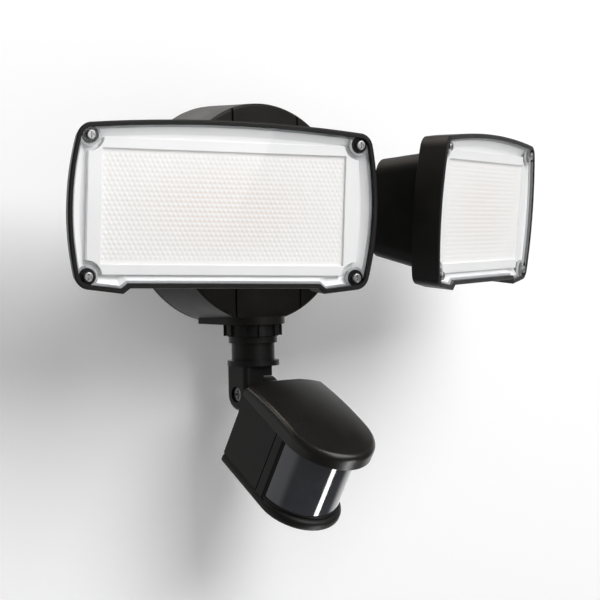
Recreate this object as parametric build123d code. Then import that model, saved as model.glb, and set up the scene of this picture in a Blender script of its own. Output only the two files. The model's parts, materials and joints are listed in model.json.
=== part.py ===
from build123d import *
import os

# Motion sensor security light on a wall, in millimetres.
# World frame: X to the right, Z up, the wall is the plane Y = 0 and the light stands out towards -Y.
# The origin is the middle of the junction box strap, on the wall.
#
# Canopy and head pieces are drawn in a facing frame: X right, Y up, Z out of the face.

# --- canopy: round wall housing -------------------------------------------------------------
canopy_r = 65.0
canopy_draft = 1.5
canopy_depth = 43.0
canopy_wall = 2.6
canopy_front_wall = 3.0
canopy_edge_r = 1.5
groove_left_x = -20.0
groove_right_x = 27.0
groove_w = 1.6
groove_depth = 1.2
wall_gasket_t = 2.0
wall_gasket_w = 5.0

# --- strap and fixings ----------------------------------------------------------------------
strap_end = 1.55
strap_w = 18.0
strap_t = 1.6
strap_corner_r = 3.0
slot_spacing = 88.9
slot_len = 14.0
slot_w = 4.6
canopy_bolt_r = 2.4
canopy_bolt_head_r = 6.0
canopy_bolt_head_h = 3.2
driver_slot_w = 1.2
washer_t = 1.2
washer_r = 7.5
ground_screw_x = 22.0
ground_screw_r = 2.0
ground_head_h = 2.0

# --- canopy contents ------------------------------------------------------------------------
driver_w = 68.0
driver_h = 28.0
driver_t = 22.0
driver_y = 14.0
driver_corner_r = 2.0
block_w = 30.0
block_h = 11.0
block_t = 12.0
block_y = -22.0
port_r = 2.2
port_depth = 5.0

# --- head aiming: turn about the upright axis, then dip below level ---------------------------
left_turn = -13.0
right_turn = 27.5
left_dip = 3.0
right_dip = 5.0
pan_side = 10.9
pan_reach = 10.2
pan_z = 3.2
left_lean = 1.8
arm_reach = 18.5

# --- head housing ---------------------------------------------------------------------------
head_w = 161.0
head_h = 82.0
top_bulge = 4.0
side_bulge = 5.5
corner_r = 8.0
corner_follow = 0.8
tab_in = 24.5
tab_drop = 2.8
tab_slope = 3.6
tilt_to_face = 61.5
rim_depth = 17.5
rim_wall = 2.5
rim_edge_r = 0.8
side_draft = 4.5
top_draft = 1.3
bottom_draft = 0.6
housing_depth = 50.0
housing_wall = 2.5
rear_side = 14.5
rear_top = 7.8
rear_drop = 0.8
rear_taper = 5.8
rear_corner_r = 9.0
rear_edge_r = 2.5
ledge_w = 1.5
deep_w = 4.0

# --- light pack inside a head ---------------------------------------------------------------
screw_in_x = 5.9
screw_in_y = 5.8
boss_r = 4.2
screw_r = 1.5
screw_head_r = 2.4
screw_head_h = 1.6
screw_len = 8.0
screw_short = 1.0
cross_half = 1.5
cross_w = 0.6
counterbore_r = 4.0
counterbore_depth = 1.0
cover_recess = 0.3
cover_t = 2.0
cover_gasket_t = 1.0
cover_gasket_w = 1.2
flange_t = 1.0
dish_depth = 2.5
dish_skin = 1.0
dish_run = 3.7
frame_side = 5.5
frame_top = 6.7
frame_gap = 0.8
scallop_r = 8.0
frame_bar_x = 7.5
frame_bar_y = 5.3
lens_overlap = 1.5
lens_t = 1.6
frame_lip = 1.2
heat_plate_t = 2.0
plate_lap = 2.0
led_board_t = 1.6
board_corner_r = 2.0
funnel_in = 1.0
led_board_side = 7.0
led_board_top = 11.2
led_size = 3.0
led_h = 0.8
led_columns = 10
led_rows = 3

# --- swivel bracket and arm -----------------------------------------------------------------
bracket_w = 24.0
bracket_edge = 5.5
bracket_flange_h = 36.0
bracket_flange_t = 4.0
bracket_corner_r = 4.0
bracket_web_t = 2.0
ear_t = 4.0
ear_r = 10.0
pan_barrel_r = 9.0
pan_barrel_h = 17.6
tilt_barrel_r = 8.0
tilt_barrel_w = 16.2
arm_web = 12.0
head_ear_r = 9.0
ear_spread = 3.0
ear_foot = 1.0
pan_bolt_r = 3.0
pan_bolt_head_r = 5.0
pan_bolt_head_h = 3.5
pan_key_r = 2.6
key_floor = 1.3
bolt_past = 1.0
pan_nut_r = 5.5
pan_nut_h = 5.0
tilt_bolt_r = 2.5
tilt_bolt_head_r = 4.5
tilt_bolt_head_h = 3.2
tilt_key_r = 2.3
tilt_nut_r = 4.6
tilt_nut_h = 4.0
bracket_screw_r = 2.0
bracket_screw_head_r = 3.6
bracket_screw_head_h = 2.2
bracket_screw_y = 13.0
bracket_screw_past = 3.0
head_slot_w = 1.0
head_slot_depth = 1.0

# --- clearances -----------------------------------------------------------------------------
pin_play = 0.05
turn_gap = 0.2
fit_gap = 0.15
loose_gap = 0.3

# --- sensor neck ----------------------------------------------------------------------------
neck_back = 11.5
pad_r = 19.0
pad_t = 4.5
stem_r = 8.0
stem_bore_r = 4.5
stem_hold = 10.0
boss_wall = 4.0
locknut_r = 15.7
locknut_h = 6.6
locknut_rib = 1.5
locknut_rib_w = 3.4
locknut_ribs = 10
collar_step = 1.6
collar_h = 4.0
neck_r = 12.7
neck_h = 10.3
neck_flange_step = 2.6
neck_flange_h = 3.0
pivot_drop = 16.7
knuckle_r = 9.8
knuckle_out = 13.0
knuckle_round = 3.4
knuckle_w = 12.0
knuckle_shelf = 7.0
knuckle_gap = 0.8
knuckle_step = 1.0
pivot_screw_r = 2.0
pivot_recess_r = 4.6
pivot_recess_depth = 4.0
pivot_head_r = 4.0
pivot_head_h = 2.6
pivot_cross = 2.6
pivot_nut_r = 4.0
pivot_nut_h = 3.2

# --- sensor head: X right, Y up, Z forward from the tilt pivot --------------------------------
sensor_dip = 32.0
sensor_hw = 26.0
sensor_back = 21.0
sensor_curve = 62.0
sensor_top = 15.5
sensor_floor = -25.0
sensor_base_t = 7.0
base_brow = 3.0
sensor_wall = 2.5
lip_round = 3.0
window_lead = 2.2
window_frame = 8.0
window_rim = 1.5
window_inset = 0.4
window_bar = 1.0
bar_sunk = 0.2
bar_end = 0.8
bar_flat = 0.1
window_step = 1.0
pir_lens_t = 1.0
seal_t = 0.6
seal_in = 1.0
cap_side = 1.5
cap_brow = 6.5
cap_h = 9.4
cap_round = 3.6
cap_crown = 2.0
cap_arch_r = 127.0
cap_sweep_r = 260.0
cap_rear_drop = 3.0
cap_rear_slope = 35.0
cap_bulge = 2.5
cap_skin = 3.0
sensor_board_side = 3.5
sensor_board_top = 5.0
sensor_board_t = 1.6
sensor_board_set = 19.0
detector_r = 4.6
detector_h = 4.4
dial_r = 4.0
dial_x = 9.0
dial_set = 13.0
dial_h = 6.4
dial_proud = 0.8
dial_slot_w = 1.2
dial_slot_depth = 1.4
dial_slot_end = 0.8
dial_round = 0.5
base_screw_in = 5.5
base_screw_r = 1.5
base_screw_head_r = 2.8
base_screw_head_h = 1.8
base_slot_w = 0.7
base_slot_depth = 0.8
base_screw_len = 11.0
post_r = 3.2
post_h = 9.0

# --- heights and stations worked out from the sizes above --------------------------------------
over = 1.0
canopy_front_r = canopy_r - canopy_draft
strap_len = slot_spacing + slot_len + 2 * strap_end
bracket_out = canopy_front_r - bracket_edge
bracket_in = bracket_out - bracket_w
bracket_screw_x = bracket_out - bracket_w / 2
pan_x = bracket_out + pan_side
pan_out = canopy_depth + pan_reach
neck_out = canopy_depth - neck_back

tab_x = head_w / 2 - tab_in
rear_w = head_w - 2 * rear_side
rear_h = head_h - 2 * rear_top
screw_x = head_w / 2 - screw_in_x
screw_y = head_h / 2 - screw_in_y
frame_w = head_w - 2 * frame_side
frame_h = head_h - 2 * frame_top
lens_w = frame_w - 2 * frame_bar_x
lens_h = frame_h - 2 * frame_bar_y
led_board_w = rear_w - 2 * led_board_side
led_board_h = rear_h - 2 * led_board_top

pad_z = -canopy_r
stem_top = pad_z + stem_hold
locknut_top = pad_z - turn_gap
collar_top = locknut_top - locknut_h - turn_gap
neck_top = collar_top - collar_h
flange_top = neck_top - neck_h
flange_low = flange_top - neck_flange_h
pivot_z = flange_low - pivot_drop

face_z = tilt_to_face
rim_back = face_z - rim_depth
housing_back = face_z - housing_depth
cover_top = face_z - cover_recess
cover_low = cover_top - cover_t
flange_up = cover_low - cover_gasket_t
ledge_z = flange_up - flange_t
dish_low = flange_up - dish_depth
shelf_z = dish_low - dish_skin
floor_z = rim_back + housing_wall
board_z = floor_z + heat_plate_t
chips_z = board_z + led_board_t

ear_in = tilt_barrel_w / 2 + turn_gap
ear_out = ear_in + ear_t
bracket_ear_in = pan_barrel_h / 2 + turn_gap
bracket_ear_out = bracket_ear_in + ear_t

collar_r = neck_r + collar_step
neck_flange_r = neck_r + neck_flange_step
pivot_seat = pivot_recess_depth - knuckle_out
lug_in = turn_gap
lug_out = lug_in + knuckle_w
sensor_inner = sensor_hw - sensor_wall
sensor_bottom = sensor_floor - sensor_base_t
window_edge = sensor_curve + window_lead
body_front = window_edge - window_frame
pir_lens_r = sensor_hw - window_step
cap_hw = sensor_hw + cap_side
cap_curve = sensor_curve + cap_brow
sensor_board_at = sensor_back + sensor_board_set
dial_at = sensor_back + dial_set
base_screw_x = sensor_hw - base_screw_in
base_screw_z = (sensor_back + base_screw_in, body_front - base_screw_in)
front_end = cap_curve + cap_hw + over
past_body = (-cap_hw, cap_hw, sensor_bottom, sensor_top + over)

BASE = (Align.CENTER, Align.CENTER, Align.MIN)
LOW = (Align.MIN, Align.MIN, Align.MIN)
FACING = Rot(90, 0, 0)


# --- plain shapes -----------------------------------------------------------------------------
def block(x0, x1, y0, y1, z0, z1):
    """Box between two corners."""
    return Pos(x0, y0, z0) * Box(x1 - x0, y1 - y0, z1 - z0, align=LOW)


def disc(r, z0, z1, x=0.0, y=0.0):
    """Cylinder along Z."""
    return Pos(x, y, z0) * Cylinder(r, z1 - z0, align=BASE)


def disc_up(r, y0, y1, x=0.0, z=0.0):
    """Cylinder along Y."""
    return Pos(x, y0, z) * Rot(-90, 0, 0) * Cylinder(r, y1 - y0, align=BASE)


def disc_across(r, x0, x1, y=0.0, z=0.0):
    """Cylinder along X."""
    return Pos(x0, y, z) * Rot(0, 90, 0) * Cylinder(r, x1 - x0, align=BASE)


def slab(sketch, z0, z1):
    """Flat shape in X and Y, thick along Z."""
    return Pos(0, 0, z0) * extrude(sketch, z1 - z0)


def shelf(sketch, y0, y1):
    """Flat shape in X and Z, thick along Y."""
    return extrude(Plane.XZ.offset(-y1) * sketch, y1 - y0)


def cheek(sketch, x0, x1):
    """Flat shape in Y and Z, thick along X."""
    return extrude(Plane.YZ.offset(x0) * sketch, x1 - x0)


def hex_across(r, x0, x1):
    """Hexagonal nut along X."""
    return cheek(RegularPolygon(r, 6), x0, x1)


def corners(x, y):
    """Four points placed evenly about the middle."""
    return [(-x, -y), (x, -y), (-x, y), (x, y)]


def export(part, node):
    """Write one piece under its own name."""
    export_step(part, "parts/" + node + ".step")


# --- canopy -----------------------------------------------------------------------------------
def canopy_housing():
    """Round shell, open at the wall, with a flat pad below for the sensor."""
    depth = canopy_depth - wall_gasket_t
    stand = Pos(0, 0, wall_gasket_t) * Rot(0, 0, 90)
    shell = stand * Cone(canopy_r, canopy_front_r, depth, align=BASE)
    front_edges = shell.edges().sort_by(Axis.Z)[-1]
    shell = fillet(front_edges, canopy_edge_r)
    pad_top = pad_z + pad_t
    shell += block(-pad_r, pad_r, pad_z, pad_top, wall_gasket_t + over, neck_out)
    shell += disc_up(pad_r, pad_z, pad_top, z=neck_out)
    inner_r = canopy_r - canopy_wall
    inner_front_r = canopy_front_r - canopy_wall
    hollow_depth = depth - canopy_front_wall
    shell -= stand * Cone(inner_r, inner_front_r, hollow_depth, align=BASE)
    seat_r = stem_r + boss_wall
    boss = (-seat_r, seat_r, pad_z + over, stem_top, neck_out - seat_r, canopy_depth - over)
    shell += block(*boss)
    cuts = [
        disc_up(stem_r + pin_play, pad_z - over, stem_top + over, z=neck_out),
        disc(canopy_bolt_r + fit_gap, 0, canopy_depth + over),
    ]
    for x in (groove_left_x, groove_right_x):
        cut = (x - groove_w / 2, x + groove_w / 2, -canopy_r, canopy_r)
        cuts.append(block(*cut, canopy_depth - groove_depth, canopy_depth + over))
    low = canopy_depth - canopy_front_wall - over
    for side in (-1, 1):
        for y in (-bracket_screw_y, bracket_screw_y):
            hole = disc(bracket_screw_r + pin_play, low, canopy_depth + over, bracket_screw_x, pan_z + y)
            cuts.append(on_side(hole, side))
    return shell - cuts


def wall_gasket():
    """Foam ring between the canopy and the wall."""
    return disc(canopy_r, 0, wall_gasket_t) - disc(canopy_r - wall_gasket_w, 0, wall_gasket_t)


def strap():
    """Steel strap that goes on the junction box."""
    plate = slab(RectangleRounded(strap_len, strap_w, strap_corner_r), 0, strap_t)
    for x in (-slot_spacing / 2, slot_spacing / 2):
        plate -= slab(Pos(x, 0) * SlotOverall(slot_len, slot_w), -over, strap_t + over)
    plate -= disc(canopy_bolt_r + pin_play, -over, strap_t + over)
    plate -= disc(ground_screw_r + pin_play, -over, strap_t + over, ground_screw_x)
    return plate


def canopy_bolt():
    """Long bolt through the middle of the canopy into the strap."""
    head_low = canopy_depth + washer_t
    head = disc(canopy_bolt_head_r, head_low, head_low + canopy_bolt_head_h)
    head = fillet(head.edges().sort_by(Axis.Z)[-1], canopy_bolt_head_h / 2)
    slot_low = head_low + canopy_bolt_head_h / 2
    half = driver_slot_w / 2
    slot_high = head_low + canopy_bolt_head_h + over
    head -= block(-canopy_bolt_head_r, canopy_bolt_head_r, -half, half, slot_low, slot_high)
    return head + disc(canopy_bolt_r, 0, head_low)


def bolt_washer():
    """Rubber washer that seals the bolt."""
    ring = disc(washer_r, canopy_depth, canopy_depth + washer_t)
    return ring - disc(canopy_bolt_r + pin_play, canopy_depth, canopy_depth + washer_t)


def ground_screw():
    """Earth screw with its head on the strap."""
    shank = disc(ground_screw_r, 0, strap_t, ground_screw_x)
    head_top = strap_t + ground_head_h
    return shank + disc(2 * ground_screw_r, strap_t, head_top, ground_screw_x)


def driver_box():
    """Power supply on the inside of the canopy's front wall."""
    top = canopy_depth - canopy_front_wall
    body = block(-driver_w / 2, driver_w / 2, driver_y, driver_y + driver_h, top - driver_t, top)
    return fillet(body.edges().filter_by(Axis.Z), driver_corner_r)


def terminal_block():
    """Three-way connector block for the house wires."""
    top = canopy_depth - canopy_front_wall
    body = block(-block_w / 2, block_w / 2, block_y, block_y + block_h, top - block_t, top)
    for step in (-1, 0, 1):
        centre_y = block_y + block_h / 2
        body -= disc(port_r, top - block_t, top - block_t + port_depth, step * block_w / 3, centre_y)
    return body


# --- swivel bracket: drawn for the right side and mirrored for the left -------------------------
def on_side(shape, side):
    """Swivel piece put on one side of the canopy, with the left one's lean."""
    if side > 0:
        return shape
    turned = Pos(-pan_x, pan_z) * Rot(0, 0, -left_lean) * Pos(pan_x, -pan_z)
    return turned * mirror(shape, about=Plane.YZ)


def bracket():
    """Bracket on the canopy's front with two level ears round the pan axis."""
    front = canopy_depth
    foot = Pos(bracket_screw_x, front + bracket_flange_t / 2)
    foot = foot * Rectangle(bracket_w, bracket_flange_t)
    eye = Pos(pan_x, pan_out) * Circle(ear_r)
    ear = make_hull(foot.edges() + eye.edges())
    body = shelf(ear, pan_z + bracket_ear_in, pan_z + bracket_ear_out)
    body += shelf(ear, pan_z - bracket_ear_out, pan_z - bracket_ear_in)
    flange = RectangleRounded(bracket_w, bracket_flange_h, bracket_corner_r)
    body += slab(Pos(bracket_screw_x, pan_z) * flange, front, front + bracket_flange_t)
    web = (bracket_in, bracket_out - ear_t, pan_z - bracket_ear_in, pan_z + bracket_ear_in)
    body += block(*web, front, front + bracket_flange_t + bracket_web_t)
    low = pan_z - bracket_ear_out - over
    high = pan_z + bracket_ear_out + over
    body -= disc_up(pan_bolt_r + pin_play, low, high, pan_x, pan_out)
    for y in (-bracket_screw_y, bracket_screw_y):
        seat = front + bracket_flange_t
        high = seat + bracket_web_t + over
        body -= disc(bracket_screw_r + pin_play, front - over, high, bracket_screw_x, pan_z + y)
        body -= disc(bracket_screw_head_r + fit_gap, seat, high, bracket_screw_x, pan_z + y)
    return body


def bracket_screws():
    """Two screws through the bracket's flange and the canopy's front."""
    seat = canopy_depth + bracket_flange_t
    low = canopy_depth - canopy_front_wall - bracket_screw_past
    top = seat + bracket_screw_head_h
    slot = (bracket_screw_x - bracket_screw_head_r, bracket_screw_x + bracket_screw_head_r)
    screws = Part()
    for y in (-bracket_screw_y, bracket_screw_y):
        centre = (bracket_screw_x, pan_z + y)
        head = disc(bracket_screw_head_r, seat, top, *centre)
        head = fillet(head.edges().sort_by(Axis.Z)[-1], bracket_screw_head_h / 3)
        half = head_slot_w / 2
        head -= block(*slot, centre[1] - half, centre[1] + half, top - head_slot_depth, top + over)
        screws += head + disc(bracket_screw_r, low, seat, *centre)
    return screws


def pan_bolt():
    """Upright bolt through both ears, head up."""
    top = pan_z + bracket_ear_out
    low = pan_z - bracket_ear_out - pan_nut_h - bolt_past
    head = disc_up(pan_bolt_head_r, top, top + pan_bolt_head_h, pan_x, pan_out)
    key = Pos(pan_x, pan_out) * RegularPolygon(pan_key_r, 6)
    socket = shelf(key, top + key_floor, top + pan_bolt_head_h + over)
    return head - socket + disc_up(pan_bolt_r, low, top, pan_x, pan_out)


def pan_nut():
    """Nut under the lower ear."""
    top = pan_z - bracket_ear_out
    nut = shelf(Pos(pan_x, pan_out) * RegularPolygon(pan_nut_r, 6), top - pan_nut_h, top)
    low = top - pan_nut_h - over
    return nut - disc_up(pan_bolt_r + pin_play, low, top + over, pan_x, pan_out)


# --- arm: from the pan axis out to the tilt axis ------------------------------------------------
def arm():
    """Short arm with an upright barrel and a level barrel."""
    body = disc_up(pan_barrel_r, -pan_barrel_h / 2, pan_barrel_h / 2)
    body += block(-arm_web / 2, arm_web / 2, -arm_web / 2, arm_web / 2, 0, arm_reach)
    body += disc_across(tilt_barrel_r, -tilt_barrel_w / 2, tilt_barrel_w / 2, z=arm_reach)
    body -= disc_up(pan_bolt_r + pin_play, -pan_barrel_h, pan_barrel_h)
    return body - disc_across(tilt_bolt_r + pin_play, -tilt_barrel_w, tilt_barrel_w, z=arm_reach)


# --- head: drawn about the tilt axis ------------------------------------------------------------
def head_outline(inset=0.0, side=0.0, top=0.0, bottom=0.0):
    """Outline of a head: bulging top and sides, with a drop at each end of the lower edge."""
    x = head_w / 2 - side
    y = head_h / 2 - top
    low = bottom - head_h / 2
    inner_x = tab_x - tab_slope
    edges = [
        ThreePointArc((-x, y), (0, y + top_bulge), (x, y)),
        ThreePointArc((x, y), (x + side_bulge, 0), (x, low)),
        Polyline((x, low), (tab_x, low - tab_drop), (inner_x, low), (-inner_x, low)),
        Polyline((-inner_x, low), (-tab_x, low - tab_drop), (-x, low)),
        ThreePointArc((-x, low), (-x - side_bulge, 0), (-x, y)),
    ]
    face = make_face(edges)
    if inset > 0:
        face = offset(face, amount=-inset, kind=Kind.INTERSECTION)
    outer = [v for v in face.vertices() if abs(v.X) > screw_x - scallop_r]
    return fillet(outer, corner_r - corner_follow * inset)


def rear_section(taper, inset=0.0):
    """Cross-section of the housing behind the rim."""
    width = rear_w - 2 * taper - 2 * inset
    height = rear_h - 2 * taper - 2 * inset
    return Pos(0, -rear_drop) * RectangleRounded(width, height, rear_corner_r - inset)


def rear_body(inset, low, high):
    """Tapered body behind the rim, between two stations."""
    span = rim_back - housing_back
    ends = []
    for z in (low, high):
        taper = rear_taper * (rim_back - z) / span
        ends.append(Pos(0, 0, z) * rear_section(taper, inset))
    return loft(ends, ruled=True)


def housing():
    """Cast housing: rim, tapered body behind it, corner posts and two ears for the tilt bolt."""
    back = head_outline(0, side_draft, top_draft, bottom_draft)
    rim = loft([Pos(0, 0, rim_back) * back, Pos(0, 0, face_z) * head_outline()], ruled=True)
    ends = rim.faces().sort_by(Axis.Z)
    rim = fillet(ends[0].edges() + ends[-1].edges(), rim_edge_r)
    rear = rear_body(0, housing_back, rim_back)
    rear = fillet(rear.faces().sort_by(Axis.Z)[0].edges(), rear_edge_r)
    body = rim + rear
    body -= slab(head_outline(rim_wall), ledge_z, face_z + over)
    body -= slab(head_outline(rim_wall + ledge_w), shelf_z, ledge_z)
    body -= slab(head_outline(rim_wall + ledge_w + deep_w), floor_z, shelf_z)
    body -= rear_body(housing_wall, housing_back + housing_wall, rim_back)
    body -= slab(rear_section(0, housing_wall), rim_back, floor_z)
    for x, y in corners(screw_x, screw_y):
        body += disc(boss_r, rim_back + over, cover_low, x, y) & rim
        body -= disc(screw_r + pin_play, cover_low - screw_len, cover_low, x, y)
    foot = Pos(0, housing_back + ear_foot / 2) * Rectangle(2 * (head_ear_r + ear_spread), ear_foot)
    ear = make_hull(Circle(head_ear_r).edges() + foot.edges())
    for x in (-ear_out, ear_in):
        body += cheek(ear, x, x + ear_t)
    return body - disc_across(tilt_bolt_r + pin_play, -ear_out - over, ear_out + over)


def heat_plate():
    """Aluminium plate that closes the rear body and carries the light board."""
    width = rear_w - 2 * housing_wall + 2 * plate_lap
    height = rear_h - 2 * housing_wall + 2 * plate_lap
    return slab(RectangleRounded(width, height, rear_corner_r), floor_z, board_z)


def led_board():
    """Light board on the heat plate."""
    return slab(RectangleRounded(led_board_w, led_board_h, board_corner_r), board_z, chips_z)


def leds():
    """Rows of light chips."""
    pitch_x = led_board_w / led_columns
    pitch_y = led_board_h / led_rows
    chips = []
    for column in range(led_columns):
        for row in range(led_rows):
            x = (column - (led_columns - 1) / 2) * pitch_x
            y = (row - (led_rows - 1) / 2) * pitch_y
            chips.append(Pos(x, y, chips_z) * Box(led_size, led_size, led_h, align=BASE))
    return Compound(children=chips)


def reflector():
    """White insert: flange, dished border, raised frame with scalloped corners and a funnel."""
    body = slab(head_outline(rim_wall + fit_gap), ledge_z, flange_up)
    body += slab(head_outline(rim_wall + ledge_w + loose_gap), shelf_z, ledge_z)
    dish_in = rim_wall + fit_gap + cover_gasket_w + fit_gap
    dish = [
        Pos(0, 0, flange_up) * head_outline(dish_in),
        Pos(0, 0, dish_low) * head_outline(dish_in + dish_run),
    ]
    body -= loft(dish, ruled=True)
    frame = slab(Rectangle(frame_w, frame_h), shelf_z, cover_low - frame_gap)
    for x, y in corners(screw_x, screw_y):
        frame -= disc(scallop_r, dish_low, face_z, x, y)
    body += frame
    body -= [disc(boss_r + loose_gap, shelf_z - over, face_z, x, y) for x, y in corners(screw_x, screw_y)]
    pocket_w = lens_w + 2 * lens_overlap
    pocket_h = lens_h + 2 * lens_overlap
    lip_z = cover_low - frame_gap - frame_lip
    body -= slab(Rectangle(pocket_w, pocket_h), shelf_z, lip_z)
    body -= slab(Rectangle(lens_w, lens_h), shelf_z, face_z)
    wide = (lens_w + 2 * lens_overlap, lens_h + 2 * lens_overlap)
    narrow = (led_board_w - 2 * funnel_in, led_board_h - 2 * funnel_in)
    skin = dish_skin
    funnel_low = chips_z + led_h + loose_gap
    outer = [
        Pos(0, 0, funnel_low) * Rectangle(narrow[0] + 2 * skin, narrow[1] + 2 * skin),
        Pos(0, 0, shelf_z) * Rectangle(wide[0] + 2 * skin, wide[1] + 2 * skin),
    ]
    inner = [Pos(0, 0, funnel_low) * Rectangle(*narrow), Pos(0, 0, shelf_z) * Rectangle(*wide)]
    body += loft(outer, ruled=True) - loft(inner, ruled=True)
    return body.solids().sort_by(SortBy.VOLUME)[-1]


def diffuser():
    """Prismatic panel held behind the frame's lip."""
    width = lens_w + 2 * lens_overlap - 2 * fit_gap
    height = lens_h + 2 * lens_overlap - 2 * fit_gap
    top = cover_low - frame_gap - frame_lip
    return slab(Rectangle(width, height), top - lens_t, top)


def cover_gasket():
    """Thin seal between the reflector's flange and the cover, led round the inside of the posts."""
    outer = head_outline(rim_wall + fit_gap)
    inner = head_outline(rim_wall + fit_gap + cover_gasket_w)
    post_r = boss_r + loose_gap
    outer -= [Pos(x, y) * Circle(post_r) for x, y in corners(screw_x, screw_y)]
    inner -= [Pos(x, y) * Circle(post_r + cover_gasket_w) for x, y in corners(screw_x, screw_y)]
    ring = slab(outer - inner, flange_up, cover_low)
    return ring.solids().sort_by(SortBy.VOLUME)[-1]


def cover():
    """Clear front cover with a sunk seat at each screw."""
    plate = slab(head_outline(rim_wall + fit_gap), cover_low, cover_top)
    for x, y in corners(screw_x, screw_y):
        plate -= disc(screw_r + fit_gap, cover_low - over, cover_top + over, x, y)
        plate -= disc(counterbore_r, cover_top - counterbore_depth, cover_top + over, x, y)
    return plate


def cover_screws():
    """Four cross-recess screws that hold the cover to the posts."""
    seat = cover_top - counterbore_depth
    screws = []
    for x, y in corners(screw_x, screw_y):
        head = disc(screw_head_r, seat, seat + screw_head_h, x, y)
        head = fillet(head.edges().sort_by(Axis.Z)[-1], screw_head_h / 3)
        top = seat + screw_head_h
        for long, wide in ((cross_half, cross_w / 2), (cross_w / 2, cross_half)):
            cross = (x - long, x + long, y - wide, y + wide, top - screw_head_h / 2, top + over)
            head -= block(*cross)
        screws.append(head + disc(screw_r, cover_low - screw_len + screw_short, seat, x, y))
    return Compound(children=screws)


def tilt_bolt():
    """Level bolt through the housing's ears and the arm."""
    head = disc_across(tilt_bolt_head_r, ear_out, ear_out + tilt_bolt_head_h)
    socket = cheek(RegularPolygon(tilt_key_r, 6), ear_out + key_floor, ear_out + tilt_bolt_head_h + over)
    return head - socket + disc_across(tilt_bolt_r, -ear_out - tilt_nut_h - bolt_past, ear_out)


def tilt_nut():
    """Nut on the tilt bolt."""
    nut = hex_across(tilt_nut_r, -ear_out - tilt_nut_h, -ear_out)
    low = -ear_out - tilt_nut_h - over
    return nut - disc_across(tilt_bolt_r + pin_play, low, -ear_out + over)


HEAD_PIECES = {
    "housing": housing,
    "heat_plate": heat_plate,
    "led_board": led_board,
    "leds": leds,
    "reflector": reflector,
    "diffuser": diffuser,
    "cover_gasket": cover_gasket,
    "cover": cover,
    "cover_screws": cover_screws,
    "tilt_bolt": tilt_bolt,
    "tilt_nut": tilt_nut,
}


# --- sensor neck: drawn about its own upright axis ------------------------------------------------
def locknut():
    """Ribbed locknut under the canopy's pad."""
    low = locknut_top - locknut_h
    nut = disc(locknut_r, low, locknut_top)
    reach = locknut_r + locknut_rib
    for step in range(locknut_ribs):
        rib = block(stem_r + over, reach, -locknut_rib_w / 2, locknut_rib_w / 2, low, locknut_top)
        nut += Rot(0, 0, 360 * step / locknut_ribs) * rib
    return nut - disc(stem_r + pin_play, low - over, locknut_top + over)


def neck():
    """Neck: hollow stem, collar, tube, flange and the left half of the tilt knuckle."""
    body = disc(stem_r, collar_top, stem_top) + disc(collar_r, neck_top, collar_top)
    body += disc(neck_r, flange_top, neck_top) + disc(neck_flange_r, flange_low, flange_top)
    shelf_low = pivot_z + knuckle_r + knuckle_gap
    half = knuckle_r - knuckle_step
    body += block(0, knuckle_shelf, -half, half, shelf_low, flange_low)
    plate = disc_across(knuckle_r, -knuckle_out, 0, 0, pivot_z)
    plate += block(-knuckle_out, 0, -knuckle_r, knuckle_r, pivot_z, flange_low)
    outer = plate.faces().sort_by(Axis.X)[0].edges()
    rim = [e for e in outer if e.center().Z < flange_low - fit_gap]
    body += fillet(rim, knuckle_round)
    body -= disc(stem_bore_r, flange_low, stem_top + over)
    body -= disc_across(pivot_recess_r, -knuckle_out - over, pivot_seat, 0, pivot_z)
    return body - disc_across(pivot_screw_r + pin_play, -knuckle_out, over, 0, pivot_z)


def pivot_screw():
    """Tilt screw, its head sunk in the left side of the knuckle."""
    head = disc_across(pivot_head_r, pivot_seat - pivot_head_h, pivot_seat, 0, pivot_z)
    top = pivot_seat - pivot_head_h
    for long, wide in ((pivot_cross, head_slot_w / 2), (head_slot_w / 2, pivot_cross)):
        cross = (-long, long, pivot_z - wide, pivot_z + wide)
        head -= block(top - over, top + head_slot_depth, *cross)
    end = lug_out + turn_gap + pivot_nut_h + bolt_past
    return head + disc_across(pivot_screw_r, pivot_seat, end, 0, pivot_z)


def pivot_nut():
    """Nut on the right side of the knuckle."""
    low = lug_out + turn_gap
    nut = Pos(0, 0, pivot_z) * hex_across(pivot_nut_r, low, low + pivot_nut_h)
    high = low + pivot_nut_h + over
    return nut - disc_across(pivot_screw_r + pin_play, low - over, high, 0, pivot_z)


# --- sensor head ----------------------------------------------------------------------------------
def d_shape(half, back, curve, bulge=0.0):
    """Straight sides and a round front, seen from above."""
    if bulge > 0:
        rear = ThreePointArc((half, back), (0, back - bulge), (-half, back))
    else:
        rear = Line((half, back), (-half, back))
    edges = [
        rear,
        Line((-half, back), (-half, curve)),
        ThreePointArc((-half, curve), (0, curve + half), (half, curve)),
        Line((half, curve), (half, back)),
    ]
    return make_face(edges)


def sensor_body():
    """Back and sides of the sensor, with four screw posts and the right half of the knuckle."""
    body = shelf(d_shape(sensor_hw, sensor_back, sensor_curve), sensor_floor, sensor_top)
    hollow = d_shape(sensor_inner, sensor_back + sensor_wall, sensor_curve)
    body -= shelf(hollow, sensor_floor, sensor_top)
    body -= block(*past_body, body_front, front_end)
    for x, z in base_screw_points():
        body += disc_up(post_r, sensor_floor, sensor_floor + post_h, x, z)
        body -= disc_up(base_screw_r + pin_play, sensor_floor, sensor_bottom + base_screw_len + over, x, z)
    body += disc_across(knuckle_r, lug_in, lug_out)
    body += block(lug_in, lug_out, -knuckle_r, knuckle_r, 0, sensor_back + over)
    return body - disc_across(pivot_screw_r + pin_play, 0, lug_out + over)


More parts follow.
